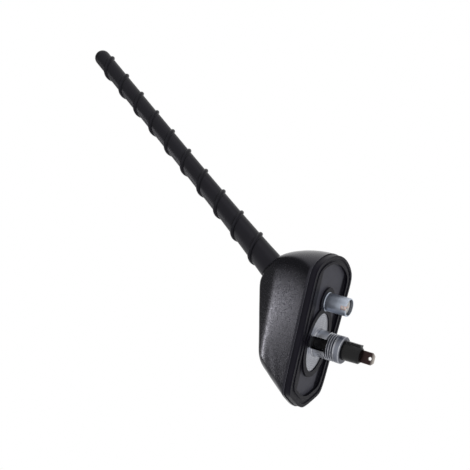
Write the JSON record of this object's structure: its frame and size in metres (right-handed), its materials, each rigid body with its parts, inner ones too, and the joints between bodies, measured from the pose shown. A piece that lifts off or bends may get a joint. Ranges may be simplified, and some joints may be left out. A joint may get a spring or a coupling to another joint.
{
  "type": "car roof antenna",
  "caption": "Raked rubber mast with a spiral rib, screwed into a soft-faceted roof base with a hollow clamping stud and two terminals.",
  "frame": {"origin": "on the stud's axis, in the plane where the gasket meets the roof", "axes": "+Z away from the roof, +X to the broad rear end towards which the mast leans, +Y across"},
  "size_m": [0.1692, 0.046, 0.2239],
  "materials": {
    "cover_plastic": "fine moulded grain, satin",
    "gasket_rubber": "smooth, satin",
    "zinc_casting": "matt, as cast",
    "terminal_plastic": "satin",
    "blade_metal": "tarnished, satin",
    "connector_metal": "plated, satin",
    "contact_copper": "bare, satin",
    "insulator_plastic": "smooth, white",
    "brass_parts": "machined",
    "board_laminate": "satin, with mask",
    "tinned_steel": "tinned sheet",
    "choke_ferrite": "matt",
    "capacitor_case": "smooth",
    "screw_steel": "zinc plated",
    "washer_rubber": "smooth, matt",
    "mast_rubber": "smooth, satin",
    "rod_fibreglass": "smooth"
  },
  "bodies": {
    "base": {"cover_shell": "cover_plastic", "roof_gasket": "gasket_rubber", "base_plate": "zinc_casting", "terminal_housing": "terminal_plastic", "supply_blade": "blade_metal", "connector_sleeve": "connector_metal", "connector_contact": "contact_copper", "connector_insulator": "insulator_plastic", "connector_pin": "contact_copper", "circuit_board": "board_laminate", "amplifier_shield": "tinned_steel", "supply_choke": "choke_ferrite", "filter_capacitor": "capacitor_case", "contact_strip": "contact_copper", "contact_screw": "screw_steel", "cover_screws": "screw_steel", "board_screws": "screw_steel", "mast_socket": "brass_parts"},
    "washer": {"foot_washer": "washer_rubber"},
    "mast": {"mast_jacket": "mast_rubber", "mast_ferrule": "brass_parts", "mast_core_rod": "rod_fibreglass", "radiator_winding": "contact_copper"}
  },
  "joints": [
    {"name": "mast_lift", "type": "slide", "parent": "base", "child": "washer", "axis": [0.5446, 0, 0.8387], "range_m": [0, 0.006]},
    {"name": "mast_turn", "type": "hinge", "parent": "washer", "child": "mast", "pos_m": [0.0304, 0, 0.0351], "axis": [0.5446, 0, 0.8387], "range_deg": [0, 2160]}
  ],
  "couplings": [
    {"joint": "mast_turn", "follows": "mast_lift", "rad_per_m": 6283.2}
  ]
}
